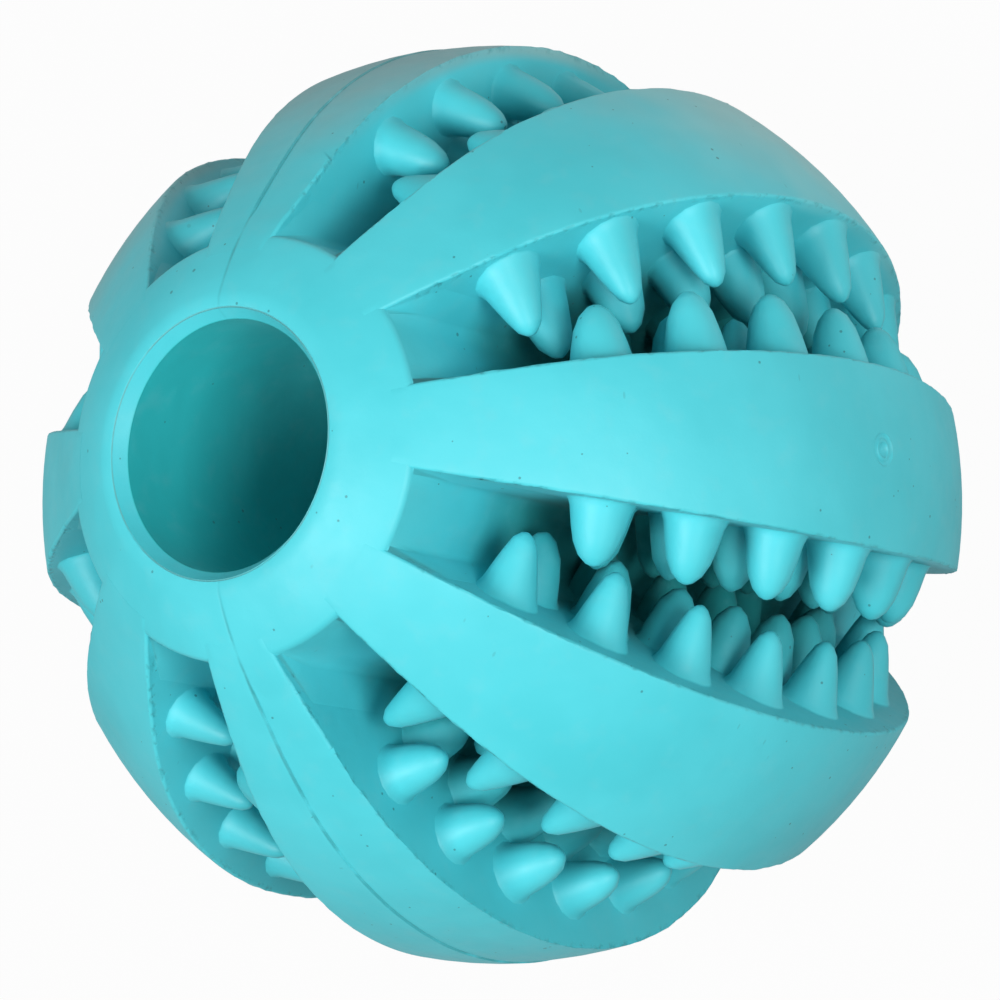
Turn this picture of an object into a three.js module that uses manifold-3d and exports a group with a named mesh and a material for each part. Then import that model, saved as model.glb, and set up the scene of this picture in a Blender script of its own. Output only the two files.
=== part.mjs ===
// Rubber chew ball: a slotted dog toy with a bore through the middle and soft cleaning teeth in its slots.
// Millimetres. The origin is the centre of the ball, +Z runs along the bore and +X through a seam rib.
import * as THREE from 'three';
import { mergeVertices } from 'three/addons/utils/BufferGeometryUtils.js';
import Module from 'manifold-3d';

// Overall sizes
const BALL_DIAMETER = 70;
const LENGTH_OVER_RIMS = 69.6;

// Core: a tube along the axis that ends in a domed collar round each mouth
const BORE_DIAMETER = 18;
const CORE_DIAMETER = 30.8;
const COLLAR_DEPTH = 8;
const MOUTH_CHAMFER_WIDTH = 0.8;
const MOUTH_CHAMFER_DEPTH = 1.0;
const RIM_LAND_WIDTH = 0.8;
const CROWN_REACH = 7;

// Ribs: slices of the ball that stand on the core, with a slot between each two
const RIB_COUNT = 8;
const SLOT_ANGLE = THREE.MathUtils.degToRad(22.5);

// Teeth: three rows on each slot wall, staggered from one rib to the next
const OUTER_TOOTH_DIAMETER = 5;
const OUTER_TOOTH_LENGTH = 5;
const OUTER_ROW_DEPTH = 3.4;
const OUTER_ROW_PITCH = 7.45;
const MIDDLE_TOOTH_DIAMETER = 4.6;
const MIDDLE_TOOTH_LENGTH = 4.7;
const MIDDLE_ROW_DEPTH = 8;
const MIDDLE_ROW_PITCH = 6;
const INNER_TOOTH_DIAMETER = 4.2;
const INNER_TOOTH_LENGTH = 4.4;
const INNER_ROW_DEPTH = 14;
const INNER_ROW_PITCH = 6.9;
const ROW_END_CLEARANCE = 0.9;

// Clearance between neighbouring features of the moulding
const FEATURE_GAP = 0.3;

// Facets
const ROUND_SEGMENTS = 48;
const RIB_ARC_STEPS = 20;
const COLLAR_DOME_STEPS = 3;
const TOOTH_SIDES = 6;
const TOOTH_STEPS = 2;

const RUBBER_COLOUR = 0x63d3da;
const RUBBER_ROUGHNESS = 0.55;

const ballRadius = BALL_DIAMETER / 2;
const boreRadius = BORE_DIAMETER / 2;
const coreRadius = CORE_DIAMETER / 2;
const rimHeight = LENGTH_OVER_RIMS / 2;
const mouthRadius = boreRadius + MOUTH_CHAMFER_WIDTH;
const landRadius = mouthRadius + RIM_LAND_WIDTH;
const collarFoot = rimHeight - COLLAR_DEPTH;
const ribFoot = coreRadius + FEATURE_GAP;
const ribPitch = 2 * Math.PI / RIB_COUNT;
const ribAngle = ribPitch - SLOT_ANGLE;

const wasm = await Module();
wasm.setup();

function solidFrom(geometry) {
  const bare = geometry.clone();
  bare.deleteAttribute('normal');
  bare.deleteAttribute('uv');
  const merged = mergeVertices(bare);
  const mesh = new wasm.Mesh({
    numProp: 3,
    vertProperties: new Float32Array(merged.attributes.position.array),
    triVerts: new Uint32Array(merged.index.array),
  });
  return new wasm.Manifold(mesh);
}

function geometryFrom(solid) {
  const mesh = solid.getMesh();
  const geometry = new THREE.BufferGeometry();
  geometry.setAttribute('position', new THREE.BufferAttribute(new Float32Array(mesh.vertProperties), 3));
  geometry.setIndex(new THREE.BufferAttribute(new Uint32Array(mesh.triVerts), 1));
  geometry.computeVertexNormals();
  return geometry;
}

// Turns a closed section, drawn with x away from the axis and y along it, about +Z.
function revolve(section, segments) {
  const geometry = new THREE.LatheGeometry([...section, section[0]], segments);
  return geometry.rotateX(Math.PI / 2);
}

// Height of the outer surface at a distance from the axis: a sphere whose crown lifts to meet the rim.
function crownHeight(radius) {
  const lift = rimHeight - Math.sqrt(ballRadius ** 2 - landRadius ** 2);
  const blendEnd = coreRadius + CROWN_REACH;
  const share = 1 - THREE.MathUtils.smoothstep(radius, landRadius, blendEnd);
  return Math.sqrt(ballRadius ** 2 - radius ** 2) + lift * share;
}

function coreTubeGeometry() {
  const end = collarFoot - FEATURE_GAP;
  const section = [
    new THREE.Vector2(boreRadius, -end),
    new THREE.Vector2(coreRadius, -end),
    new THREE.Vector2(coreRadius, end),
    new THREE.Vector2(boreRadius, end),
  ];
  return revolve(section, ROUND_SEGMENTS);
}

// The collar is the ring round a mouth: a domed face, a narrow flat rim and a chamfer into the bore.
function collarGeometry() {
  const dome = [];
  for (let step = 0; step <= COLLAR_DOME_STEPS; step += 1) {
    const radius = THREE.MathUtils.lerp(coreRadius, landRadius, step / COLLAR_DOME_STEPS);
    dome.push(new THREE.Vector2(radius, crownHeight(radius)));
  }
  const section = [
    new THREE.Vector2(boreRadius, collarFoot),
    new THREE.Vector2(coreRadius, collarFoot),
    ...dome,
    new THREE.Vector2(mouthRadius, rimHeight),
    new THREE.Vector2(boreRadius, rimHeight - MOUTH_CHAMFER_DEPTH),
  ];
  return revolve(section, ROUND_SEGMENTS);
}

// A rib blank is the ball's ring outside the core, cut by a wedge between two slots and centred on +X.
function ribBlank() {
  const endAngle = Math.asin(ribFoot / ballRadius);
  const section = [];
  for (let step = 0; step <= RIB_ARC_STEPS; step += 1) {
    const angle = THREE.MathUtils.lerp(Math.PI - endAngle, endAngle, step / RIB_ARC_STEPS);
    const radius = step % RIB_ARC_STEPS === 0 ? ribFoot : ballRadius * Math.sin(angle);
    const side = angle > Math.PI / 2 ? -1 : 1;
    section.push(new THREE.Vector2(radius, side * crownHeight(radius)));
  }
  const ring = solidFrom(revolve(section, ROUND_SEGMENTS));
  const wedgeReach = 2 * ballRadius;
  const wedgeOutline = new THREE.Shape([
    new THREE.Vector2(0, 0),
    new THREE.Vector2(wedgeReach, -wedgeReach * Math.tan(ribAngle / 2)),
    new THREE.Vector2(wedgeReach, wedgeReach * Math.tan(ribAngle / 2)),
  ]);
  const wedge = new THREE.ExtrudeGeometry(wedgeOutline, { depth: 2 * wedgeReach, bevelEnabled: false });
  wedge.translate(0, 0, -wedgeReach);
  return ring.intersect(solidFrom(wedge));
}

// A tooth is half an ellipsoid along +Z with a short root that sinks into the wall.
function toothGeometry(diameter, length) {
  const radius = diameter / 2;
  const root = radius * Math.tan(SLOT_ANGLE / 2) + FEATURE_GAP;
  const section = [new THREE.Vector2(0, -root), new THREE.Vector2(radius, -root)];
  for (let step = 1; step < TOOTH_STEPS; step += 1) {
    const angle = step / TOOTH_STEPS * Math.PI / 2;
    section.push(new THREE.Vector2(radius * Math.cos(angle), length * Math.sin(angle)));
  }
  section.push(new THREE.Vector2(0, length));
  return new THREE.LatheGeometry(section, TOOTH_SIDES).rotateX(Math.PI / 2);
}

// Angles from the axis of the teeth in one row, even about the middle of the rib.
// A row with a tooth on the middle faces a row with a gap there.
function rowAngles(row, rowRadius, toothOnMiddle) {
  const first = Math.asin((coreRadius + ROW_END_CLEARANCE + row.diameter / 2) / rowRadius);
  const step = row.pitch / rowRadius;
  const room = (Math.PI / 2 - first) / step;
  const offset = toothOnMiddle ? 0 : 0.5;
  const count = Math.floor(room + offset);
  const angles = [];
  for (let place = -count; place <= count; place += 1) {
    const shifted = place - Math.sign(place) * offset;
    if (place !== 0 || toothOnMiddle) {
      angles.push(Math.PI / 2 + shifted * step);
    }
  }
  return angles;
}

// Teeth of one row on one wall, each square to the middle plane of its slot.
function toothRow(row, side, toothOnMiddle) {
  const rowRadius = ballRadius - row.depth;
  const wall = side * ribAngle / 2;
  const slotMiddle = side * ribPitch / 2;
  const away = new THREE.Vector3(Math.cos(wall), Math.sin(wall), 0);
  const across = new THREE.Vector3(-side * Math.sin(slotMiddle), side * Math.cos(slotMiddle), 0);
  const turn = new THREE.Quaternion().setFromUnitVectors(new THREE.Vector3(0, 0, 1), across);
  const shape = toothGeometry(row.diameter, row.length);
  return rowAngles(row, rowRadius, toothOnMiddle).map((angle) => {
    const seat = away.clone().multiplyScalar(rowRadius * Math.sin(angle));
    seat.z = rowRadius * Math.cos(angle);
    return solidFrom(shape.clone().applyQuaternion(turn).translate(seat.x, seat.y, seat.z));
  });
}

function ribGeometry(toothOnMiddle) {
  const rows = [
    {
      depth: OUTER_ROW_DEPTH,
      pitch: OUTER_ROW_PITCH,
      diameter: OUTER_TOOTH_DIAMETER,
      length: OUTER_TOOTH_LENGTH,
    },
    {
      depth: MIDDLE_ROW_DEPTH,
      pitch: MIDDLE_ROW_PITCH,
      diameter: MIDDLE_TOOTH_DIAMETER,
      length: MIDDLE_TOOTH_LENGTH,
    },
    {
      depth: INNER_ROW_DEPTH,
      pitch: INNER_ROW_PITCH,
      diameter: INNER_TOOTH_DIAMETER,
      length: INNER_TOOTH_LENGTH,
    },
  ];
  let rib = ribBlank();
  for (const row of rows) {
    for (const side of [-1, 1]) {
      for (const tooth of toothRow(row, side, toothOnMiddle)) {
        rib = rib.add(tooth);
      }
    }
  }
  return geometryFrom(rib);
}

function rubberMesh(name, geometry) {
  const material = new THREE.MeshStandardMaterial({
    color: RUBBER_COLOUR,
    roughness: RUBBER_ROUGHNESS,
    metalness: 0,
  });
  const mesh = new THREE.Mesh(geometry, material);
  mesh.name = name;
  return mesh;
}

const ball = new THREE.Group();
ball.name = 'rubber_chew_ball';

ball.add(rubberMesh('core_tube', coreTubeGeometry()));

const frontCollar = rubberMesh('front_collar', collarGeometry());
ball.add(frontCollar);

const rearCollar = rubberMesh('rear_collar', collarGeometry());
rearCollar.rotation.x = Math.PI;
ball.add(rearCollar);

const ribShapes = [ribGeometry(true), ribGeometry(false)];
for (let index = 0; index < RIB_COUNT; index += 1) {
  const rib = rubberMesh(`rib_${index + 1}`, ribShapes[index % ribShapes.length]);
  rib.rotation.z = index * ribPitch;
  ball.add(rib);
}

export default ball;
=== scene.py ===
"""Rubber chew ball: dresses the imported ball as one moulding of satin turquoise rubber."""
import logging
import math
import random
from collections.abc import Callable
from dataclasses import dataclass, field
from enum import Enum
from functools import reduce

import bmesh
import bpy
from mathutils import Matrix, Vector

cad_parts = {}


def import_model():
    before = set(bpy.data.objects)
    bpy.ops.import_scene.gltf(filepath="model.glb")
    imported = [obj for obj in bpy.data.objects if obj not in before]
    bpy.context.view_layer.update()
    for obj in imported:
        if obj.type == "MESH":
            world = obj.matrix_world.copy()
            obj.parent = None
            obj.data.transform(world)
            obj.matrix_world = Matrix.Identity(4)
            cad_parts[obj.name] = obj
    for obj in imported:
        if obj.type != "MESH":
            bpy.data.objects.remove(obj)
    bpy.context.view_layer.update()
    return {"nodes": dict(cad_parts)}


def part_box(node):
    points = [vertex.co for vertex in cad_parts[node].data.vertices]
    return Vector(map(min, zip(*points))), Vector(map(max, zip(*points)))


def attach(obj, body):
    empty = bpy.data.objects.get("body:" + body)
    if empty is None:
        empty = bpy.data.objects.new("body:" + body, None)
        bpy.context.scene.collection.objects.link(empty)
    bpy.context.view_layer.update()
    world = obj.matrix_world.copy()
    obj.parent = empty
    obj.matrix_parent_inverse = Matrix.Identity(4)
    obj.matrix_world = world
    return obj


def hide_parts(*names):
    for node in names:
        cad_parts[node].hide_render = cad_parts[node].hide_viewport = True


LOG = logging.getLogger("chew_ball")
MM = 0.001
BODY = "root"

# How close two places or two turns are that count as one, and the turn beyond which an edge stays sharp
SAME_PLACE = 0.01 * MM
SAME_TURN = 0.0005
CREASE = math.radians(40)

Piece = bpy.types.Object
Socket = bpy.types.NodeSocket
Colour = tuple[float, float, float, float]
Side = tuple[float, float, float]
Band = tuple[float, float]


class WallSide(Enum):
    """The two slot walls of a rib, by the turn about the bore that leads to them."""

    CLOCKWISE = -1
    COUNTER = 1


class ToothStep(Enum):
    """How a rib's rows of teeth lie about its middle: neighbours differ, so that their teeth mesh."""

    TOOTH_ON_MIDDLE = 0.0
    GAP_ON_MIDDLE = 0.5


class ToothForm(Enum):
    """Outline of a tooth: pairs of height and half width, as shares of its length and of half its width."""

    BLUNT = (
        (-0.012, 1.09), (0.03, 1.0), (0.13, 0.92), (0.4, 0.81),
        (0.66, 0.67), (0.86, 0.46), (0.97, 0.22), (1.0, 0.06),
    )
    POINTED = (
        (-0.012, 1.03), (0.03, 0.94), (0.13, 0.84), (0.4, 0.68),
        (0.66, 0.515), (0.86, 0.365), (0.965, 0.19), (1.0, 0.05),
    )
    PLAIN = (
        (-0.012, 1.08), (0.06, 0.96), (0.38, 0.82),
        (0.7, 0.64), (0.92, 0.34), (1.0, 0.07),
    )


@dataclass(frozen=True)
class BallSizes:
    """Sizes that the whole moulding shares, in metres and radians."""

    ball_radius: float
    rim_height: float
    core_radius: float
    rib_count: int
    bore_radius: float = 9.1 * MM
    chamfer_width: float = 0.65 * MM
    chamfer_depth: float = 1.0 * MM
    land_width: float = 0.8 * MM
    crown_reach: float = 7.0 * MM
    slot_angle: float = math.radians(22.5)

    @classmethod
    def from_frame(cls, nodes: dict) -> "BallSizes":
        """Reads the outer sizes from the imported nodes.

        Args:
            nodes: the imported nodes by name.

        Returns:
            The sizes of this ball.
        """
        ribs = [name for name in nodes if name.startswith("rib_")]
        return cls(
            ball_radius=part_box("rib_1")[1][0],
            rim_height=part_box("front_collar")[1][2],
            core_radius=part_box("core_tube")[1][0],
            rib_count=len(ribs),
        )

    @property
    def mouth_radius(self) -> float:
        """Radius where the chamfer of a mouth meets its rim."""
        return self.bore_radius + self.chamfer_width

    @property
    def land_radius(self) -> float:
        """Outer radius of the narrow flat rim."""
        return self.mouth_radius + self.land_width

    @property
    def rib_pitch(self) -> float:
        """Turn from one rib to the next."""
        return 2 * math.pi / self.rib_count

    @property
    def rib_angle(self) -> float:
        """Turn that one rib takes up."""
        return self.rib_pitch - self.slot_angle

    def crown_lift(self, radius: float) -> float:
        """Height that the surface stands above the sphere near a mouth.

        Args:
            radius: distance from the bore's axis.

        Returns:
            The lift along the axis.
        """
        full = self.rim_height - math.sqrt(self.ball_radius**2 - self.land_radius**2)
        end = self.core_radius + self.crown_reach
        share = (radius - self.land_radius) / (end - self.land_radius)
        share = min(max(share, 0.0), 1.0)
        return full * (1 - share * share * (3 - 2 * share))

    def crown_height(self, radius: float) -> float:
        """Height of the outer surface above the middle of the ball at a distance from the axis."""
        return math.sqrt(self.ball_radius**2 - radius**2) + self.crown_lift(radius)


class Bench:
    """Small modelling steps that the pieces share."""

    MERGE_DISTANCE = 0.002 * MM
    WALL_WEIGHT = 60

    @staticmethod
    def clear_selection() -> None:
        """Leaves object mode with nothing selected."""
        if bpy.context.object and bpy.context.object.mode != "OBJECT":
            bpy.ops.object.mode_set(mode="OBJECT")
        bpy.ops.object.select_all(action="DESELECT")

    @staticmethod
    def activate(piece: Piece) -> None:
        """Selects one object alone and makes it active.

        Args:
            piece: the object.
        """
        Bench.clear_selection()
        piece.select_set(True)
        bpy.context.view_layer.objects.active = piece

    @staticmethod
    def edit(piece: Piece) -> None:
        """Opens one object in edit mode, with vertices to pick.

        Args:
            piece: the object.
        """
        Bench.activate(piece)
        bpy.ops.object.mode_set(mode="EDIT")
        bpy.ops.mesh.select_mode(type="VERT")

    @staticmethod
    def pick(piece: Piece, wanted: Callable[[Vector], bool]) -> None:
        """Selects the vertices of an open mesh by their place.

        Args:
            piece: the object in edit mode.
            wanted: says whether a vertex at a place is picked.
        """
        bpy.ops.mesh.select_all(action="DESELECT")
        mesh = bmesh.from_edit_mesh(piece.data)
        for vertex in mesh.verts:
            vertex.select = wanted(vertex.co)
        mesh.select_flush_mode()
        bmesh.update_edit_mesh(piece.data)

    @staticmethod
    def bake_place() -> None:
        """Applies the place, turn and scale of the active object to its mesh."""
        bpy.ops.object.transform_apply(location=True, rotation=True, scale=True)

    @staticmethod
    def turned(vertices: int, rings: list[Vector]) -> Piece:
        """Draws an open shape about +Z from ring to ring and leaves it in edit mode.

        Args:
            vertices: points on each ring.
            rings: radius (x) and height (y) of each ring.

        Returns:
            The new object.
        """
        Bench.clear_selection()
        first = rings[0]
        bpy.ops.mesh.primitive_circle_add(vertices=vertices, radius=first.x, location=(0, 0, first.y))
        piece = bpy.context.object
        Bench.bake_place()
        Bench.edit(piece)
        bpy.ops.mesh.select_all(action="SELECT")
        for start, end in zip(rings, rings[1:]):
            bpy.ops.mesh.extrude_region_move(TRANSFORM_OT_translate={"value": (0, 0, end.y - start.y)})
            ratio = end.x / start.x
            bpy.ops.transform.resize(value=(ratio, ratio, 1), center_override=(0, 0, end.y))
        return piece

    @staticmethod
    def close_ends() -> None:
        """Fills every open edge loop of the mesh in edit mode."""
        bpy.ops.mesh.select_all(action="DESELECT")
        bpy.ops.mesh.select_non_manifold(extend=False, use_wire=False, use_multi_face=False)
        bpy.ops.mesh.edge_face_add()

    @staticmethod
    def face_out() -> None:
        """Merges doubles and points all faces of the mesh in edit mode outwards."""
        bpy.ops.mesh.select_all(action="SELECT")
        bpy.ops.mesh.remove_doubles(threshold=Bench.MERGE_DISTANCE)
        bpy.ops.mesh.normals_make_consistent(inside=False)

    @staticmethod
    def apply(piece: Piece, modifier: bpy.types.Modifier) -> None:
        """Applies one modifier of an object."""
        Bench.activate(piece)
        bpy.ops.object.modifier_apply(modifier=modifier.name)

    @staticmethod
    def smooth(piece: Piece) -> None:
        """Shades a piece smooth, with its flat walls kept flat.

        Args:
            piece: the object to shade.
        """
        Bench.activate(piece)
        bpy.ops.object.shade_smooth_by_angle(angle=CREASE)
        weighted = piece.modifiers.new("Flat walls", "WEIGHTED_NORMAL")
        weighted.keep_sharp = True
        weighted.weight = Bench.WALL_WEIGHT
        Bench.apply(piece, weighted)


@dataclass(frozen=True)
class ToothRow:
    """One row of soft cleaning teeth on a slot wall, cones that flare into the wall they grow from."""

    depth: float
    pitch: float
    width: float
    length: float
    sides: int = 10

    def tooth(self, form: ToothForm) -> Piece:
        """Models one tooth along +Z as a closed shape, from its root, just inside the wall, to its tip.

        Args:
            form: outline of the tooth.

        Returns:
            The pattern for the row.
        """
        radius = self.width / 2
        rings = [Vector((radius * width, self.length * height)) for height, width in form.value]
        piece = Bench.turned(self.sides, rings)
        Bench.close_ends()
        Bench.face_out()
        Bench.clear_selection()
        piece.name = "tooth_pattern"
        return piece


@dataclass(frozen=True)
class RowNudge:
    """How far a wall's rows lie from their even places, as the moulding shows.

    Attributes:
        outward: how much farther from the middle of the ball the rows sit.
        longer: how much longer the teeth are.
        slip: how far the rows are turned towards the front mouth.
        upright: how much less the teeth lean towards the bore.
        lag: how far the rows behind the outer one are turned back again.
        wider: how much wider the teeth of the outer row are.
        end_longer: how much longer still the outer tooth next to the front mouth is.
        end_wider: how much wider that tooth is.
        end_slip: how far that tooth is turned on towards the front mouth.
    """

    outward: float = 0.0
    longer: float = 0.0
    slip: float = 0.0
    upright: float = 0.0
    lag: float = 0.0
    wider: float = 0.0
    end_longer: float = 0.0
    end_wider: float = 0.0
    end_slip: float = 0.0

    @classmethod
    def of(cls, **changes: float) -> "RowNudge":
        """Makes a nudge from lengths in millimetres and turns in degrees.

        Args:
            changes: the changes by name.

        Returns:
            The nudge in metres and radians.
        """
        turns = ("slip", "upright", "lag", "end_slip")
        return cls(**{
            name: math.radians(change) if name in turns else change * MM
            for name, change in changes.items()
        })


@dataclass(frozen=True)
class VentMark:
    """The small mark that a vent pin of the mould has left: a dimple with a groove round it.

    Attributes:
        along: distance from the rib's middle towards the front mouth.
        aside: distance from the rib's crest.
        groove_radius: radius of the groove's middle line.
        groove_tool: radius of the round tool that cuts the groove.
        groove_proud: how far above the surface that tool's middle runs.
        dimple_tool: radius of the ball that presses the dimple.
        dimple_depth: depth of the dimple.
        segments: facets round the mark.
        groove_segments: facets round the groove's tool.
    """

    along: float = 1.66 * MM
    aside: float = 0.33 * MM
    groove_radius: float = 1.0 * MM
    groove_tool: float = 0.3 * MM
    groove_proud: float = 0.14 * MM
    dimple_tool: float = 0.75 * MM
    dimple_depth: float = 0.32 * MM
    segments: int = 40
    groove_segments: int = 12


@dataclass
class Rib:
    """A slice of the ball that stands on the core, with three rows of teeth on both walls."""

    sizes: BallSizes
    index: int
    rows: tuple[ToothRow, ...]
    nudges: dict[WallSide, RowNudge] = field(default_factory=dict)
    vent: VentMark | None = None
    row_end_clearance: float = 0.9 * MM
    foot_depth: float = 1.2 * MM
    edge_round: float = 0.26 * MM
    edge_segments: int = 3
    skin_depth: float = 0.1 * MM
    waver: float = 0.07 * MM
    waver_share: float = 0.9
    waver_start: float = 2 * MM
    section_points: int = 288
    overlap: float = 0.012 * MM
    turn_steps: int = 8
    seam_step: float = 0.11 * MM
    seam_width: float = 0.09 * MM
    seam_start: float = 1.5 * MM
    tooth_spread: float = 0.03

    @property
    def name(self) -> str:
        """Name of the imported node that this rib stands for."""
        return f"rib_{self.index + 1}"

    @property
    def has_seam(self) -> bool:
        """True for the two opposite ribs that the mould halves meet on."""
        return self.index % (self.sizes.rib_count // 2) == 0

    @property
    def tooth_step(self) -> ToothStep:
        """Neighbouring ribs take turns."""
        return ToothStep.TOOTH_ON_MIDDLE if self.index % 2 == 0 else ToothStep.GAP_ON_MIDDLE

    @property
    def tooth_forms(self) -> tuple[ToothForm, ...]:
        """Forms of the teeth, row by row: the outer row is pointed on ribs with a gap on their middle."""
        outer = ToothForm.BLUNT if self.index % 2 == 0 else ToothForm.POINTED
        return outer, ToothForm.PLAIN, ToothForm.PLAIN

    def blank(self) -> Piece:
        """Turns a round section, cut off at the core, through the rib's angle about the bore.

        Returns:
            The rib without its teeth.
        """
        sizes = self.sizes
        foot = sizes.core_radius - self.foot_depth
        Bench.clear_selection()
        bpy.ops.mesh.primitive_circle_add(
            vertices=self.section_points,
            radius=sizes.ball_radius,
            fill_type="NGON",
            rotation=(math.pi / 2, 0, 0),
        )
        piece = bpy.context.object
        Bench.bake_place()
        Bench.edit(piece)
        bpy.ops.mesh.select_all(action="SELECT")
        bpy.ops.mesh.bisect(plane_co=(foot, 0, 0), plane_no=(1, 0, 0), clear_inner=True)
        self.lift_crown(piece)
        bpy.ops.mesh.select_all(action="SELECT")
        bpy.ops.mesh.spin(steps=self.turn_steps, angle=sizes.rib_angle, center=(0, 0, 0), axis=(0, 0, 1))
        Bench.close_ends()
        Bench.face_out()
        bpy.ops.object.mode_set(mode="OBJECT")
        middle = sum((vertex.co for vertex in piece.data.vertices), Vector())
        piece.rotation_euler.z = -math.atan2(middle.y, middle.x)
        Bench.bake_place()
        if self.has_seam:
            self.step_seam(piece)
        self.round_edges(piece)
        return piece

    def round_edges(self, piece: Piece) -> None:
        """Rounds the two long edges between the outside and the slot walls.

        Args:
            piece: the rib without its teeth.
        """
        half = self.sizes.rib_angle / 2
        reach = self.sizes.ball_radius - self.skin_depth

        def on_edge(co: Vector) -> bool:
            """True for points of the outside that lie on a slot wall."""
            return co.length > reach and abs(abs(math.atan2(co.y, co.x)) - half) < SAME_TURN

        Bench.edit(piece)
        Bench.pick(piece, on_edge)
        bpy.ops.mesh.bevel(offset=self.edge_round, segments=self.edge_segments, affect="EDGES")
        self.waver_edges(piece)
        bpy.ops.object.mode_set(mode="OBJECT")

    def waver_edges(self, piece: Piece) -> None:
        """Makes the rounded long edges slightly uneven, as trimmed flash leaves them.

        Args:
            piece: the rib without its teeth, in edit mode.
        """
        half = self.sizes.rib_angle / 2
        inset = self.edge_round * self.waver_share
        ends = self.sizes.core_radius + self.waver_start

        def on_round(co: Vector) -> bool:
            """Says which points lie inside the rounded edge, clear of the collars.

            Args:
                co: a point of the rib.

            Returns:
                True for such a point.
            """
            from_axis = math.hypot(co.x, co.y)
            from_wall = (half - abs(math.atan2(co.y, co.x))) * from_axis
            from_outside = self.sizes.ball_radius - co.length
            return from_axis > ends and from_wall < inset and abs(from_outside) < inset

        Bench.pick(piece, on_round)
        bpy.ops.transform.vertex_random(offset=self.waver, seed=self.index + 1)

    def lift_crown(self, piece: Piece) -> None:
        """Raises both ends of the open section to the crown round the mouths.

        Args:
            piece: the section, in edit mode.
        """
        mesh = bmesh.from_edit_mesh(piece.data)
        places = [vertex.co.copy() for vertex in mesh.verts]
        for place in places:
            lift = self.sizes.crown_lift(place.x)
            if lift > 0:
                lift += self.overlap
                Bench.pick(piece, lambda co, at=place: (co - at).length < SAME_PLACE)
                bpy.ops.transform.translate(value=(0, 0, math.copysign(lift, place.z)))

    def step_seam(self, piece: Piece) -> None:
        """Gives the crest of the rib the small step that two mould halves leave where they meet.

        Args:
            piece: the rib without its teeth.
        """
        crest = self.sizes.core_radius
        Bench.edit(piece)
        Bench.pick(piece, lambda co: abs(co.y) < SAME_PLACE and co.x > crest)
        bpy.ops.mesh.bevel(offset=self.seam_width / 2, segments=1, affect="EDGES")
        side = -1 if self.index == 0 else 1
        clear_of_collar = crest + self.seam_start
        Bench.pick(piece, lambda co: side * co.y > SAME_PLACE and co.x > clear_of_collar)
        ratio = 1 - self.seam_step / self.sizes.ball_radius
        bpy.ops.transform.resize(value=(ratio, ratio, ratio), center_override=(0, 0, 0))
        bpy.ops.object.mode_set(mode="OBJECT")

    def press_vent(self, piece: Piece, mark: VentMark) -> None:
        """Presses the mark of a vent pin into the outside.

        Args:
            piece: the rib without its teeth.
            mark: place and sizes of the mark.
        """
        reach = self.sizes.ball_radius
        crest = math.sqrt(reach**2 - mark.along**2 - mark.aside**2)
        seat = Vector((crest, mark.aside, mark.along))
        turn = seat.to_track_quat("Z", "Y").to_euler()
        Bench.clear_selection()
        bpy.ops.mesh.primitive_torus_add(
            location=seat * (1 + mark.groove_proud / reach),
            rotation=turn,
            major_segments=mark.segments,
            minor_segments=mark.groove_segments,
            major_radius=mark.groove_radius,
            minor_radius=mark.groove_tool,
        )
        groove_tool = bpy.context.object
        bpy.ops.mesh.primitive_uv_sphere_add(
            location=seat * (1 + (mark.dimple_tool - mark.dimple_depth) / reach),
            rotation=turn,
            segments=mark.segments,
            ring_count=mark.segments,
            radius=mark.dimple_tool,
        )
        dimple_tool = bpy.context.object
        for tool in (groove_tool, dimple_tool):
            cut = piece.modifiers.new("Vent mark", "BOOLEAN")
            cut.operation = "DIFFERENCE"
            cut.solver = "EXACT"
            cut.object = tool
            Bench.apply(piece, cut)
            bpy.data.objects.remove(tool)

    def row_angles(self, row: ToothRow) -> list[float]:
        """Angles from the bore's axis at which a row has its teeth.

        Args:
            row: the row of teeth.

        Returns:
            The angles, even about the middle of the rib.
        """
        radius = self.sizes.ball_radius - row.depth
        first = math.asin((self.sizes.core_radius + self.row_end_clearance + row.width / 2) / radius)
        step = row.pitch / radius
        offset = self.tooth_step.value
        count = math.floor((math.pi / 2 - first) / step + offset)
        places = [place - offset for place in range(1, count + 1)]
        middle = [0.0] if offset == 0 else []
        return [math.pi / 2 + place * step for place in [*(-p for p in places), *middle, *places]]

    def seat(self, row: ToothRow, side: WallSide, angle: float) -> Matrix:
        """Place of one tooth: +Z out of the wall, leaning towards +X, which points to the bore.

        Args:
            row: the row of teeth.
            side: the slot wall.
            angle: angle of the tooth from the bore's axis.

        Returns:
            The matrix that takes a tooth to its seat.
        """
        nudge = self.nudges.get(side, RowNudge())
        wall = side.value * self.sizes.rib_angle / 2
        away = Vector((math.cos(wall), math.sin(wall), 0))
        out = side.value * Vector((-math.sin(wall), math.cos(wall), 0))
        radius = self.sizes.ball_radius - row.depth + nudge.outward
        angle -= nudge.slip if row is self.rows[0] else nudge.slip - nudge.lag
        centre = away * radius * math.sin(angle) + Vector((0, 0, radius * math.cos(angle)))
        across = out.cross(-away)
        turn = Matrix((-away, across, out)).transposed().to_4x4()
        lean = Matrix.Identity(4)
        lean[0][2] = math.tan(self.sizes.slot_angle / 2 - nudge.upright)
        return Matrix.Translation(centre) @ turn @ lean

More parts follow.
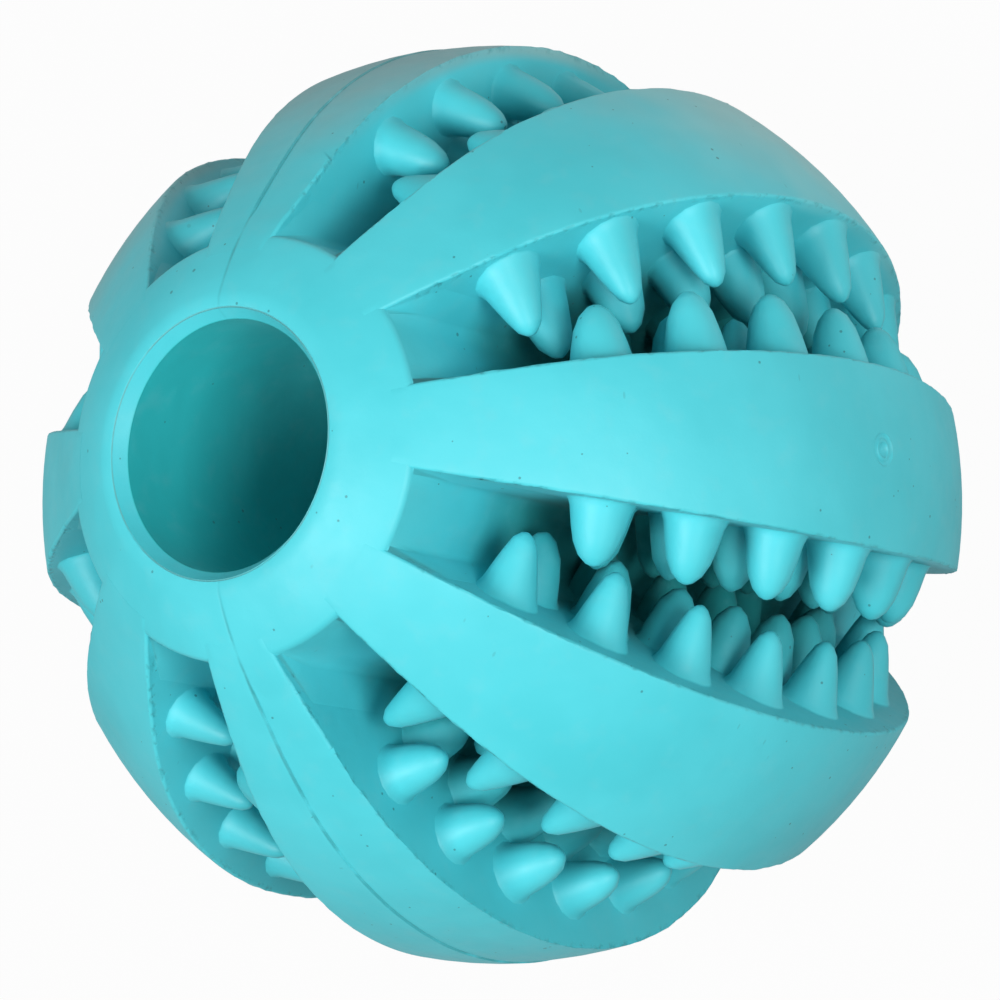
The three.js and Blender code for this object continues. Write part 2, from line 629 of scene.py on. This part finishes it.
    def teeth(self, patterns: tuple[Piece, ...], chance: random.Random) -> Piece:
        """Copies the tooth patterns to every seat, each a little different, as one object.

        Args:
            patterns: one tooth for each row.
            chance: source of the small differences.

        Returns:
            All teeth of this rib.
        """
        copies = []
        spread = self.tooth_spread
        for row, pattern in zip(self.rows, patterns):
            for side in WallSide:
                nudge = self.nudges.get(side, RowNudge())
                angles = self.row_angles(row)
                for angle in angles:
                    tooth = pattern.copy()
                    tooth.data = pattern.data.copy()
                    bpy.context.collection.objects.link(tooth)
                    is_outer = row is self.rows[0]
                    is_end = is_outer and angle == min(angles)
                    longer = nudge.longer + (nudge.end_longer if is_end else 0)
                    wider = (nudge.wider if is_outer else 0) + (nudge.end_wider if is_end else 0)
                    stretch = 1 + longer / row.length + chance.uniform(-spread, spread)
                    girth = 1 + wider / row.width + chance.uniform(-spread, spread)
                    shape = Matrix.Diagonal((girth, girth, stretch, 1))
                    seat = self.seat(row, side, angle - (nudge.end_slip if is_end else 0))
                    tooth.data.transform(seat @ shape)
                    copies.append(tooth)
        Bench.clear_selection()
        for tooth in copies:
            tooth.select_set(True)
        bpy.context.view_layer.objects.active = copies[0]
        bpy.ops.object.join()
        return bpy.context.object

    def build(self, patterns: tuple[Piece, ...], chance: random.Random) -> Piece:
        """Models the rib with its teeth fused on, turned to its place round the bore.

        Args:
            patterns: one tooth for each row.
            chance: source of the teeth's small differences.

        Returns:
            The finished rib.
        """
        piece = self.blank()
        if self.vent is not None:
            self.press_vent(piece, self.vent)
        teeth = self.teeth(patterns, chance)
        union = piece.modifiers.new("Teeth", "BOOLEAN")
        union.operation = "UNION"
        union.solver = "EXACT"
        union.use_self = True
        union.object = teeth
        Bench.apply(piece, union)
        bpy.data.objects.remove(teeth)
        piece.rotation_euler.z = self.index * self.sizes.rib_pitch
        Bench.bake_place()
        Bench.smooth(piece)
        piece.name = f"moulded_{self.name}"
        return piece


@dataclass
class Core:
    """The tube along the bore with a domed collar round each mouth."""

    sizes: BallSizes
    segments: int = 256
    edge_round: float = 0.7 * MM
    root_fillet: float = 1.8 * MM
    root_climb: float = 3.2 * MM
    root_steps: int = 5
    root_end: float = 0.83
    lip_drop: float = 0.07 * MM
    lip_start: float = 0.06 * MM
    lip_end: float = 0.14 * MM
    dome_steps: int = 8
    slope_run: float = 1 * MM
    bore_shares: tuple[float, ...] = (0.0, 0.35, 0.7, 0.9)
    chamfer_shares: tuple[tuple[float, float], ...] = ((0.0, 1.1), (0.0, 1.0), (1.0, 0.0))
    edge_shares: tuple[float, ...] = (0.25, 0.5, 0.75, 1.0)
    floor_shares: tuple[float, ...] = (0.82, 0.6, 0.3, 0.0)

    def profile(self) -> list[Vector]:
        """Draws the outline of the upper half, from the bore over the mouth to the slot floor.

        Returns:
            Radius and height of each ring.
        """
        sizes = self.sizes
        bore = sizes.bore_radius
        rim = sizes.rim_height
        width = sizes.chamfer_width
        depth = sizes.chamfer_depth
        rings = [Vector((bore, share * rim)) for share in self.bore_shares]
        for across, down in self.chamfer_shares:
            rings.append(Vector((bore + across * width, rim - down * depth)))
        rings.append(Vector((sizes.mouth_radius + self.lip_start, rim - self.lip_drop)))
        rings.append(Vector((sizes.mouth_radius + self.lip_end, rim)))
        rings.append(Vector((sizes.land_radius, rim)))
        fall = sizes.crown_height(sizes.core_radius - self.slope_run) - sizes.crown_height(sizes.core_radius)
        slope = math.atan(fall / self.slope_run)
        dome_end = sizes.core_radius - self.edge_round * (1 - math.sin(slope))
        for step in range(1, self.dome_steps + 1):
            radius = sizes.land_radius + (dome_end - sizes.land_radius) * step / self.dome_steps
            rings.append(Vector((radius, sizes.crown_height(radius))))
        centre = rings[-1] - self.edge_round * Vector((math.sin(slope), math.cos(slope)))
        for share in self.edge_shares:
            angle = slope + share * (math.pi / 2 - slope)
            rings.append(centre + self.edge_round * Vector((math.sin(angle), math.cos(angle))))
        for share in self.floor_shares:
            rings.append(Vector((sizes.core_radius, share * rim)))
        return rings

    def build(self) -> Piece:
        """Models the upper half ring by ring and mirrors it.

        Returns:
            The finished core.
        """
        piece = Bench.turned(self.segments, self.profile())
        Bench.clear_selection()
        mirror = piece.modifiers.new("Far half", "MIRROR")
        mirror.use_axis = (False, False, True)
        mirror.merge_threshold = SAME_PLACE
        Bench.apply(piece, mirror)
        Bench.edit(piece)
        Bench.face_out()
        self.fillet_roots(piece)
        self.crisp_chamfer(piece)
        bpy.ops.object.mode_set(mode="OBJECT")
        Bench.smooth(piece)
        piece.name = "moulded_core"
        return piece

    def crisp_chamfer(self, piece: Piece) -> None:
        """Keeps both edges of the mouths' chamfers sharp when the core is shaded smooth.

        Args:
            piece: the core, in edit mode.
        """
        sizes = self.sizes
        inner = Vector((sizes.bore_radius, sizes.rim_height - sizes.chamfer_depth))
        outer = Vector((sizes.mouth_radius, sizes.rim_height))
        for edge in (inner, outer):

            def on_edge(co: Vector, at: Vector = edge) -> bool:
                """True for the vertices of this edge at either mouth."""
                return (Vector((math.hypot(co.x, co.y), abs(co.z))) - at).length < SAME_PLACE

            Bench.pick(piece, on_edge)
            bpy.ops.mesh.mark_sharp()

    def fillet_roots(self, piece: Piece) -> None:
        """Raises the slot floor beside each rib to a small fillet, and on under the rib.

        Args:
            piece: the core, in edit mode.
        """
        sizes = self.sizes
        step = sizes.core_radius * 2 * math.pi / self.segments
        half_rib = sizes.rib_angle / 2
        floor_end = self.root_end * sizes.rim_height
        for places in range(self.root_steps):
            from_wall = places * step
            spare = max(self.root_fillet - from_wall, 0)
            rise = self.root_fillet - math.sqrt(self.root_fillet**2 - spare**2)
            height = rise if places else self.root_climb
            near = half_rib + (places + 0.5) * step / sizes.core_radius
            far = half_rib + (places - 0.5) * step / sizes.core_radius if places else 0

            def beside_rib(co: Vector) -> bool:
                """Says which vertices of the floor lie at this distance from a rib's wall.

                Args:
                    co: a point of the core.

                Returns:
                    True for such a point.
                """
                if math.hypot(co.x, co.y) < sizes.core_radius - SAME_PLACE or abs(co.z) > floor_end:
                    return False
                turn = math.atan2(co.y, co.x) / sizes.rib_pitch
                from_middle = abs(turn - round(turn)) * sizes.rib_pitch
                return far <= from_middle < near

            Bench.pick(piece, beside_rib)
            ratio = 1 + height / sizes.core_radius
            bpy.ops.transform.resize(value=(ratio, ratio, 1), center_override=(0, 0, 0))


@dataclass(frozen=True)
class Coat:
    """A colour that lies over the rubber, and the share of it that shows where it is thickest."""

    colour: Colour
    share: float


@dataclass(frozen=True)
class Clouds:
    """Soft clouds: a noise, and the band of its values in which a cloud thickens."""

    scale: float
    detail: float
    band: Band


@dataclass(frozen=True)
class Sway:
    """A noise that sways evenly about 0, over a width."""

    scale: float
    detail: float
    width: float


@dataclass(frozen=True)
class DustAndPaintedLight:
    """A coat on one side of the ball, which thickens unevenly over a band of distances that way: used for a
    painted shade and for dust with a painted sheen.
    """

    coat: Coat
    side: Side
    band: Band
    sway: Sway


class Nodes:
    """Adds and links the shader nodes of one material or world."""

    def __init__(self, owner: bpy.types.Material | bpy.types.World) -> None:
        """Starts on the emptied node tree of its owner.

        Args:
            owner: the material or world.
        """
        owner.use_nodes = True
        self.tree = owner.node_tree
        self.tree.nodes.clear()

    def add(self, kind: str, inputs: dict | None = None, **settings: object) -> bpy.types.Node:
        """Adds a node.

        Args:
            kind: type name of the node.
            inputs: values, or sockets to link, by input name or number.
            settings: properties of the node.

        Returns:
            The new node.
        """
        node = self.tree.nodes.new(kind)
        for key, value in settings.items():
            setattr(node, key, value)
        for key, value in (inputs or {}).items():
            if isinstance(value, Socket):
                self.tree.links.new(value, node.inputs[key])
            else:
                node.inputs[key].default_value = value
        return node

    def maths(self, operation: str, *values: object) -> Socket:
        """Adds a Math node and returns its result."""
        return self.add("ShaderNodeMath", dict(enumerate(values)), operation=operation).outputs[0]

    def product(self, *values: object) -> Socket:
        """Multiplies values with each other and returns the result."""
        return reduce(lambda first, second: self.maths("MULTIPLY", first, second), values)

    def rest(self, value: Socket) -> Socket:
        """Returns 1 less a value."""
        return self.maths("SUBTRACT", 1.0, value)

    def length(self, vector: Socket) -> Socket:
        """Returns the length of a vector."""
        return self.add("ShaderNodeVectorMath", {0: vector}, operation="LENGTH").outputs["Value"]

    def along(self, place: Socket, side: Side) -> Socket:
        """Returns how far a place lies in a direction."""
        return self.add("ShaderNodeVectorMath", {0: place, 1: side}, operation="DOT_PRODUCT").outputs["Value"]

    def band(self, value: Socket, low: float, high: float) -> Socket:
        """Maps a value smoothly from 0 at low to 1 at high and returns it."""
        inputs = {"Value": value, "From Min": low, "From Max": high}
        return self.add("ShaderNodeMapRange", inputs, interpolation_type="SMOOTHSTEP").outputs["Result"]

    def blend(self, share: object, first: object, second: object) -> Socket:
        """Mixes two colours and returns the result."""
        return self.add("ShaderNodeMix", {0: share, 6: first, 7: second}, data_type="RGBA").outputs[2]


class Skin(Nodes):
    """Shader nodes of the rubber, with measures of the point they colour, in millimetres.

    Attributes:
        place: place on the piece, of which x and y are parts.
        height: distance from the plane across the middle of the bore.
        reach: distance from the middle of the ball.
        from_axis: distance from the bore's axis.
    """

    def __init__(self, owner: bpy.types.Material) -> None:
        """Takes the measures from the piece's own coordinates.

        Args:
            owner: the rubber's material.
        """
        super().__init__(owner)
        metres = self.add("ShaderNodeTexCoord").outputs["Object"]
        scale = {"Vector": metres, "Scale": (1 / MM, 1 / MM, 1 / MM)}
        self.place = self.add("ShaderNodeMapping", scale).outputs["Vector"]
        axes = self.add("ShaderNodeSeparateXYZ", {"Vector": self.place}).outputs
        flat = self.add("ShaderNodeCombineXYZ", {"X": axes["X"], "Y": axes["Y"]}).outputs["Vector"]
        self.x = axes["X"]
        self.y = axes["Y"]
        self.height = self.maths("ABSOLUTE", axes["Z"])
        self.reach = self.length(self.place)
        self.from_axis = self.length(flat)

    def noise(self, scale: float, detail: float) -> Socket:
        """Adds a noise of a scale per millimetre and returns its value from 0 to 1."""
        inputs = {"Vector": self.place, "Scale": scale, "Detail": detail}
        return self.add("ShaderNodeTexNoise", inputs).outputs["Fac"]

    def clouds(self, clouds: Clouds) -> Socket:
        """Returns 1 inside soft clouds and 0 between them."""
        return self.band(self.noise(clouds.scale, clouds.detail), *clouds.band)

    def sway(self, sway: Sway) -> Socket:
        """Returns a value that sways evenly about 0."""
        noise = self.noise(sway.scale, sway.detail)
        return self.maths("MULTIPLY_ADD", noise, sway.width, -sway.width / 2)


@dataclass(frozen=True)
class RubberFinish:
    """Satin moulded rubber with faint mottling, bloom, dust, specks and a parting line, with painted shade in
    the slots, in the bore and over one side, and a painted sheen with the dust towards one limb.

    A band is a pair of measures between which a mask rises from 0 to 1.
    """

    sizes: BallSizes
    body: Colour = (0.078, 0.63, 0.71, 1)
    patch: Colour = (0.062, 0.58, 0.655, 1)
    patch_clouds: Clouds = Clouds(0.09, 3, (0.35, 0.7))
    # Painted shade: the slots' depths and the inner teeth take this darker colour, where shade falls; it
    # fades out towards the outside and near the mouths.
    slot: Colour = (0.007, 0.27, 0.28, 1)
    shade_reach: Band = (22.0, 31.0)
    shade_height: Band = (18.5, 25.0)
    # Painted shade: a darker colour for the inside of the bore, where shade falls.
    bore: Colour = (0.03, 0.53, 0.56, 1)
    bore_edge: Band = (9.1, 9.17)
    bloom: Coat = Coat((0.22, 0.6, 0.65, 1), 0.12)
    bloom_clouds: Clouds = Clouds(0.55, 5, (0.5, 0.78))
    # Painted shade: a greyer, darker coat over one side of the outside, where less light falls.
    grey_shade: DustAndPaintedLight = DustAndPaintedLight(
        Coat((0.26, 0.43, 0.43, 1), 0.6), (1.0, 0.6, -0.5), (2.0, 24.0), Sway(0.12, 4, 22.0)
    )
    # Dust with a painted sheen: a paler coat towards one limb, partly dust and partly painted sheen from the
    # white surroundings.
    pale_dust_and_sheen: DustAndPaintedLight = DustAndPaintedLight(
        Coat((0.4, 0.67, 0.65, 1), 0.5), (0.85, -0.5, -0.15), (27.5, 36.0), Sway(0.2, 4, 6.0)
    )
    coat_half_side: Side = (-0.158, -0.571, 0.806)
    coat_half_band: Band = (-11.0, 1.0)
    coat_reach: Band = (33.6, 34.6)
    fleck: Coat = Coat((0.03, 0.3, 0.33, 1), 0.45)
    fleck_inset: Band = (0.02, 0.3)
    fleck_reach: Band = (34.3, 34.8)
    fleck_start: Band = (16.0, 18.0)
    fleck_clouds: Clouds = Clouds(1.6, 4, (0.48, 0.7))
    nick: Coat = Coat((0.03, 0.2, 0.22, 1), 0.25)
    nick_stretch: Side = (0.25, 0.35, 0.9)
    nick_turn: Side = (0.5, 0.3, 0.8)
    nick_radius: Band = (0.03, 0.06)
    nick_spread: float = 0.12
    nick_threshold: float = 0.52
    cells_per_mm: float = 0.7
    scatter_detail: float = 1.0
    speck: Coat = Coat((0.03, 0.2, 0.22, 1), 0.7)
    speck_mean: float = 0.06
    speck_sway: Sway = Sway(0.4, 1, 0.2)
    speck_spread: float = 0.16
    speck_threshold: float = 0.5
    seam: Coat = Coat((0.03, 0.3, 0.33, 1), 0.75)
    seam_width: float = 0.2
    seam_sway: Sway = Sway(0.35, 2, 0.16)
    seam_reach: Band = (34.2, 34.7)
    seam_start: Band = (7.0, 17.0)
    seam_clouds: Clouds = Clouds(0.3, 5, (0.3, 0.55))
    grime: Coat = Coat((0.15, 0.27, 0.25, 1), 0.55)
    grime_offset: float = 0.06
    grime_width: Band = (0.02, 0.1)
    grime_height: Band = (34.2, 34.5)
    grime_clouds: Clouds = Clouds(0.25, 5, (0.3, 0.55))
    roughness: float = 0.5
    slot_roughness: float = 0.9
    roughness_sway: Sway = Sway(0.8, 4, 0.16)
    specular: float = 0.5
    sheen: float = 0.03
    sheen_roughness: float = 0.45
    sheen_tint: Colour = (0.85, 0.93, 0.92, 1)
    waves: Sway = Sway(0.22, 2, 4.5)
    grain: Sway = Sway(2.6, 4, 0.3)
    pit_depth: float = 1.2
    groove_depth: float = 1.6
    relief_strength: float = 0.6
    relief_depth: float = 0.05 * MM

    def material(self) -> bpy.types.Material:
        """Makes the material.

        Returns:
            The rubber, coat over coat.
        """
        material = bpy.data.materials.new("turquoise_rubber")
        skin = Skin(material)
        seam = self.seam_mask(skin)
        speck = self.speck_mask(skin)
        fleck = self.fleck_mask(skin)
        # Painted shade in the slots' depths, where shade falls; lit is 1 where none is painted.
        near_mouth = skin.band(skin.height, *self.shade_height)
        lit = skin.maths("MAXIMUM", skin.band(skin.reach, *self.shade_reach), near_mouth)
        colour = skin.blend(skin.clouds(self.patch_clouds), self.body, self.patch)
        colour = skin.blend(lit, self.slot, colour)
        # Painted shade inside the bore.
        colour = skin.blend(skin.band(skin.from_axis, *self.bore_edge), self.bore, colour)
        coats = (
            (self.bloom, skin.clouds(self.bloom_clouds)),
            # Painted shade over one side of the outside.
            (self.grey_shade.coat, self.dust_and_painted_light_mask(skin, self.grey_shade)),
            # Dust with a painted sheen towards one limb.
            (self.pale_dust_and_sheen.coat, self.dust_and_painted_light_mask(skin, self.pale_dust_and_sheen)),
            (self.fleck, fleck),
            (self.nick, self.nick_mask(skin)),
            (self.speck, speck),
            (self.seam, seam),
            (self.grime, self.grime_mask(skin)),
        )
        for coat, mask in coats:
            colour = skin.blend(skin.product(mask, coat.share), colour, coat.colour)
        rough = skin.maths("ADD", skin.sway(self.roughness_sway), self.roughness)
        rougher = self.slot_roughness - self.roughness
        shader = skin.add(
            "ShaderNodeBsdfPrincipled",
            {
                "Base Color": colour,
                "Roughness": skin.maths("MULTIPLY_ADD", skin.rest(lit), rougher, rough),
                "Specular IOR Level": self.specular,
                "Sheen Weight": self.sheen,
                "Sheen Roughness": self.sheen_roughness,
                "Sheen Tint": self.sheen_tint,
                "Normal": self.relief(skin, skin.maths("MAXIMUM", seam, fleck), speck),
            },
        )
        skin.add("ShaderNodeOutputMaterial", {"Surface": shader.outputs["BSDF"]})
        return material

    def seam_mask(self, skin: Skin) -> Socket:
        """Masks the parting line, which runs over the outside in the plane of the seam ribs.

        Args:
            skin: the rubber's nodes and measures.

        Returns:
            1 on the line.
        """
        aside = skin.maths("ADD", skin.y, skin.sway(self.seam_sway))
        line = skin.rest(skin.band(skin.maths("ABSOLUTE", aside), 0.0, self.seam_width))
        outside = skin.band(skin.reach, *self.seam_reach)
        faint_on_collar = skin.band(skin.from_axis, *self.seam_start)
        return skin.product(line, outside, skin.clouds(self.seam_clouds), faint_on_collar)

    def grime_mask(self, skin: Skin) -> Socket:
        """Masks the thin broken line of grime where the chamfer of a mouth meets its rim.

        Args:
            skin: the rubber's nodes and measures.

        Returns:
            1 on the line.
        """
        lip = self.sizes.mouth_radius / MM + self.grime_offset
        aside = skin.maths("ABSOLUTE", skin.maths("SUBTRACT", skin.from_axis, lip))
        line = skin.rest(skin.band(aside, *self.grime_width))
        near_rim = skin.band(skin.height, *self.grime_height)
        return skin.product(line, skin.clouds(self.grime_clouds), near_rim)

    def fleck_mask(self, skin: Skin) -> Socket:
        """Masks the worn, grubby flecks along the long edges of the ribs.

        Args:
            skin: the rubber's nodes and measures.

        Returns:
            More than 0 on a fleck.
        """
        turn = skin.maths("ARCTAN2", skin.y, skin.x)
        from_middle = skin.maths("PINGPONG", turn, self.sizes.rib_pitch / 2)
        short_of_edge = skin.maths("SUBTRACT", self.sizes.rib_angle / 2, from_middle)
        inset = skin.product(short_of_edge, skin.from_axis)
        line = skin.rest(skin.band(inset, *self.fleck_inset))
        outside = skin.band(skin.reach, *self.fleck_reach)
        off_collar = skin.band(skin.from_axis, *self.fleck_start)
        return skin.product(line, outside, off_collar, skin.clouds(self.fleck_clouds))

    def nick_mask(self, skin: Skin) -> Socket:
        """Masks a few short scuffs and nicks.

        Args:
            skin: the rubber's nodes and measures.

        Returns:
            1 on a nick.
        """
        drawn_out = {"Vector": skin.place, "Scale": self.nick_stretch, "Rotation": self.nick_turn}
        along = skin.add("ShaderNodeMapping", drawn_out).outputs["Vector"]
        cells = skin.add("ShaderNodeTexVoronoi", {"Vector": along, "Scale": self.cells_per_mm})
        near = skin.rest(skin.band(cells.outputs["Distance"], *self.nick_radius))
        chance = skin.noise(self.nick_spread, self.scatter_detail)
        return skin.product(near, skin.maths("GREATER_THAN", chance, self.nick_threshold))

    def speck_mask(self, skin: Skin) -> Socket:
        """Masks sparse pin-sized pits and dust specks.

        Args:
            skin: the rubber's nodes and measures.

        Returns:
            1 on a speck.
        """
        cells = skin.add("ShaderNodeTexVoronoi", {"Vector": skin.place, "Scale": self.cells_per_mm})
        radius = skin.maths("ADD", skin.sway(self.speck_sway), self.speck_mean)
        near = skin.maths("LESS_THAN", cells.outputs["Distance"], radius)
        chance = skin.noise(self.speck_spread, self.scatter_detail)
        return skin.product(near, skin.maths("GREATER_THAN", chance, self.speck_threshold))

    def dust_and_painted_light_mask(self, skin: Skin, dust: DustAndPaintedLight) -> Socket:
        """Masks a coat on one side of the outside, over one half of the ball: a painted shade, and dust with
        a painted sheen.

        Args:
            skin: the rubber's nodes and measures.
            dust: the coat and where it lies.

        Returns:
            The share of the coat.
        """
        toward = skin.maths("ADD", skin.along(skin.place, dust.side), skin.sway(dust.sway))
        on_coat_half = skin.band(skin.along(skin.place, self.coat_half_side), *self.coat_half_band)
        outside = skin.band(skin.reach, *self.coat_reach)
        return skin.product(skin.band(toward, *dust.band), on_coat_half, outside)

    def relief(self, skin: Skin, groove: Socket, pit: Socket) -> Socket:
        """Builds the fine unevenness of the moulded skin.

        Args:
            skin: the rubber's nodes and measures.
            groove: mask of the parting line and the worn edges.
            pit: mask of the pits.

        Returns:
            The bumped normal.
        """
        height = skin.maths("ADD", skin.sway(self.waves), skin.sway(self.grain))
        height = skin.maths("SUBTRACT", height, skin.product(pit, self.pit_depth))
        height = skin.maths("SUBTRACT", height, skin.product(groove, self.groove_depth))
        inputs = {"Height": height, "Strength": self.relief_strength, "Distance": self.relief_depth}
        return skin.add("ShaderNodeBump", inputs).outputs["Normal"]


@dataclass(frozen=True)
class Lamp:
    """A soft square lamp that faces the ball.

    Attributes:
        back: share of its direction that points to the camera.
        right: share that points to the camera's right.
        up: share that points to the camera's top.
    """

    name: str
    back: float
    right: float
    up: float
    size: float
    watts: float
    distance: float = 0.8

    def hang(self, right: Vector, up: Vector, back: Vector) -> None:
        """Hangs the lamp.

        Args:
            right: the camera's right.
            up: the camera's upward direction.
            back: the direction from the ball to the camera.
        """
        light = bpy.data.lights.new(self.name, "AREA")
        light.size = self.size
        light.energy = self.watts
        lamp = bpy.data.objects.new(self.name, light)
        bpy.context.collection.objects.link(lamp)
        place = (back * self.back + right * self.right + up * self.up).normalized() * self.distance
        lamp.matrix_world = Matrix.Translation(place) @ place.to_track_quat("Z", "Y").to_matrix().to_4x4()


@dataclass
class Studio:
    """Pale floor, soft frontal light and the photograph's camera."""

    sizes: BallSizes
    azimuth: float = math.radians(-15.46)
    elevation: float = math.radians(53.7)
    roll: float = math.radians(77.9)
    distance: float = 388.4 * MM
    focal_length: float = 183.0
    sensor_width: float = 36.0
    clip_start: float = 1 * MM
    image_width: int = 1000
    ball_right: float = 2.3
    ball_down: float = 4.0
    floor_width: float = 6.0
    floor_grey: Colour = (0.25, 0.25, 0.25, 1)
    floor_glow: float = 0.97
    floor_mirrored: float = 0.35
    card_grey: Colour = (0.75, 0.75, 0.75, 1)
    card_side: Side = (0.8, -0.6, 0)
    card_edge: Band = (0.03, 0.08)
    white: Colour = (1, 1, 1, 1)
    tent_light: float = 0.23
    tent_mirrored: float = 0.45
    lamps: tuple[Lamp, ...] = (
        Lamp("right_lamp", 0.93, 0.34, -0.07, 0.3, 3.12),
        Lamp("left_lamp", 0.8, -0.57, -0.2, 0.35, 4.4),
    )

    def axes(self) -> tuple[Vector, Vector, Vector]:
        """Works out the camera's own directions.

        Returns:
            Its right, up and backward directions.
        """
        back = Vector((
            math.sin(self.azimuth) * math.cos(self.elevation),
            -math.cos(self.azimuth) * math.cos(self.elevation),
            math.sin(self.elevation),
        ))
        level = Vector((math.cos(self.azimuth), math.sin(self.azimuth), 0))
        above = back.cross(level)
        up = above * math.cos(self.roll) + level * math.sin(self.roll)
        return up.cross(back), up, back

    def camera(self) -> None:
        """Sets the camera where the photograph was taken from."""
        right, up, back = self.axes()
        lens = bpy.data.cameras.new("photo_camera")
        lens.lens = self.focal_length
        lens.sensor_width = self.sensor_width
        lens.clip_start = self.clip_start
        view = bpy.data.objects.new("photo_camera", lens)
        bpy.context.collection.objects.link(view)
        pixel = self.distance * self.sensor_width / self.focal_length / self.image_width
        place = back * self.distance - right * self.ball_right * pixel + up * self.ball_down * pixel
        turn = Matrix((right, up, back)).transposed().to_4x4()
        view.matrix_world = Matrix.Translation(place) @ turn
        bpy.context.scene.camera = view

    def floor(self) -> Piece:
        """Lays the floor under the rear rim, with a paler card on one side.

        Returns:
            The floor.
        """
        Bench.clear_selection()
        bpy.ops.mesh.primitive_plane_add(size=self.floor_width, location=(0, 0, -self.sizes.rim_height))
        floor = bpy.context.object
        Bench.bake_place()
        floor.name = "studio_floor"
        material = bpy.data.materials.new("pale_paper")
        nodes = Nodes(material)
        place = nodes.add("ShaderNodeTexCoord").outputs["Object"]
        card = nodes.band(nodes.along(place, self.card_side), *self.card_edge)
        grey = nodes.blend(card, self.floor_grey, self.card_grey)
        paper = nodes.add("ShaderNodeBsdfDiffuse", {"Color": grey}).outputs[0]
        glow = nodes.add("ShaderNodeEmission", {"Color": self.white, "Strength": 1.0}).outputs[0]
        mirrored = nodes.maths("MULTIPLY_ADD", card, 1 - self.floor_mirrored, self.floor_mirrored)
        seen = nodes.product(self.seen_directly(nodes, mirrored), self.floor_glow)
        mixed = nodes.add("ShaderNodeMixShader", {0: seen, 1: paper, 2: glow}).outputs[0]
        nodes.add("ShaderNodeOutputMaterial", {"Surface": mixed})
        floor.data.materials.append(material)
        return floor

    def seen_directly(self, nodes: Nodes, mirrored: object) -> Socket:
        """Tells rays from the camera from those that only light the ball.

        Args:
            nodes: the material's nodes.
            mirrored: share of the white that a reflection shows.

        Returns:
            1 for rays from the camera or a transmission, and less for a reflection.
        """
        path = nodes.add("ShaderNodeLightPath").outputs
        either = nodes.maths("MAXIMUM", path["Is Camera Ray"], path["Is Transmission Ray"])
        return nodes.maths("MAXIMUM", either, nodes.product(path["Is Glossy Ray"], mirrored))

    def world(self) -> None:
        """Surrounds the scene with even white light."""
        world = bpy.data.worlds.new("white_tent")
        bpy.context.scene.world = world
        nodes = Nodes(world)
        seen = self.seen_directly(nodes, self.tent_mirrored)
        strength = nodes.maths("MULTIPLY_ADD", seen, 1 - self.tent_light, self.tent_light)
        tent = nodes.add("ShaderNodeBackground", {"Color": self.white, "Strength": strength})
        nodes.add("ShaderNodeOutputWorld", {"Surface": tent.outputs[0]})

    def build(self) -> Piece:
        """Sets up the studio.

        Returns:
            Its floor.
        """
        self.camera()
        self.world()
        for lamp in self.lamps:
            lamp.hang(*self.axes())
        return self.floor()


class ChewBall:
    """The whole ball: its core and its ribs in one rubber."""

    ROWS = (
        ToothRow(depth=3.4 * MM, pitch=7.45 * MM, width=5.0 * MM, length=5.0 * MM, sides=14),
        ToothRow(depth=8.0 * MM, pitch=6.0 * MM, width=4.6 * MM, length=4.8 * MM),
        ToothRow(depth=14.0 * MM, pitch=6.9 * MM, width=4.2 * MM, length=4.5 * MM),
    )
    CORE_NODES = ("core_tube", "front_collar", "rear_collar")
    NUDGES = {
        0: {WallSide.CLOCKWISE: RowNudge.of(outward=-0.2, longer=0.3, slip=-0.4, wider=-0.7)},
        3: {WallSide.COUNTER: RowNudge.of(slip=1.4, upright=6, wider=-0.7)},
        4: {WallSide.COUNTER: RowNudge.of(outward=-1.2, longer=-0.5, slip=0.1, upright=10, wider=-0.6)},
        5: {
            WallSide.COUNTER: RowNudge.of(outward=-0.8, longer=-0.3, slip=1.7, lag=1.2),
            WallSide.CLOCKWISE: RowNudge.of(outward=-0.2, longer=0.4, slip=0.6, end_slip=0.8),
        },
        6: {
            WallSide.COUNTER: RowNudge.of(
                outward=-0.4, longer=0.6, slip=0.2, upright=14, lag=0.8, end_longer=-0.7
            ),
            WallSide.CLOCKWISE: RowNudge.of(
                outward=-1.0, longer=-0.2, slip=0.2, upright=11, lag=0.9, wider=-0.25
            ),
        },
        7: {
            WallSide.CLOCKWISE: RowNudge.of(
                outward=0.4, longer=0.1, slip=0.2, upright=2, lag=1.5, end_wider=0.4, end_slip=1
            ),
        },
    }
    VENTS = {6: VentMark()}
    SEED = 7

    def __init__(self, sizes: BallSizes) -> None:
        """Takes the sizes of the ball."""
        self.sizes = sizes
        self.rubber = RubberFinish(sizes).material()

    def settle(self, piece: Piece, nodes: tuple[str, ...]) -> None:
        """Dresses a finished piece and puts it on the frame.

        Args:
            piece: the finished object.
            nodes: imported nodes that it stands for.
        """
        piece.data.materials.clear()
        piece.data.materials.append(self.rubber)
        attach(piece, BODY)
        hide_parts(*nodes)
        LOG.info("%s: %d faces, for %s", piece.name, len(piece.data.polygons), ", ".join(nodes))

    def build(self) -> None:
        """Builds the core, then the ribs in order round the bore."""
        chance = random.Random(self.SEED)
        self.settle(Core(self.sizes).build(), self.CORE_NODES)
        patterns = {(row, form): row.tooth(form) for row in self.ROWS for form in ToothForm}
        for index in range(self.sizes.rib_count):
            rib = Rib(self.sizes, index, self.ROWS, self.NUDGES.get(index, {}), self.VENTS.get(index))
            teeth = tuple(patterns[pair] for pair in zip(self.ROWS, rib.tooth_forms))
            self.settle(rib.build(teeth, chance), (rib.name,))
        for pattern in patterns.values():
            bpy.data.objects.remove(pattern)


def main() -> None:
    """Loads the frame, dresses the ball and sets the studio."""
    logging.basicConfig(level=logging.INFO, format="%(name)s %(message)s")
    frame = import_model()
    sizes = BallSizes.from_frame(frame["nodes"])
    bpy.context.scene.view_settings.view_transform = "Standard"
    ChewBall(sizes).build()
    Studio(sizes).build()


if __name__ == "__main__":
    main()
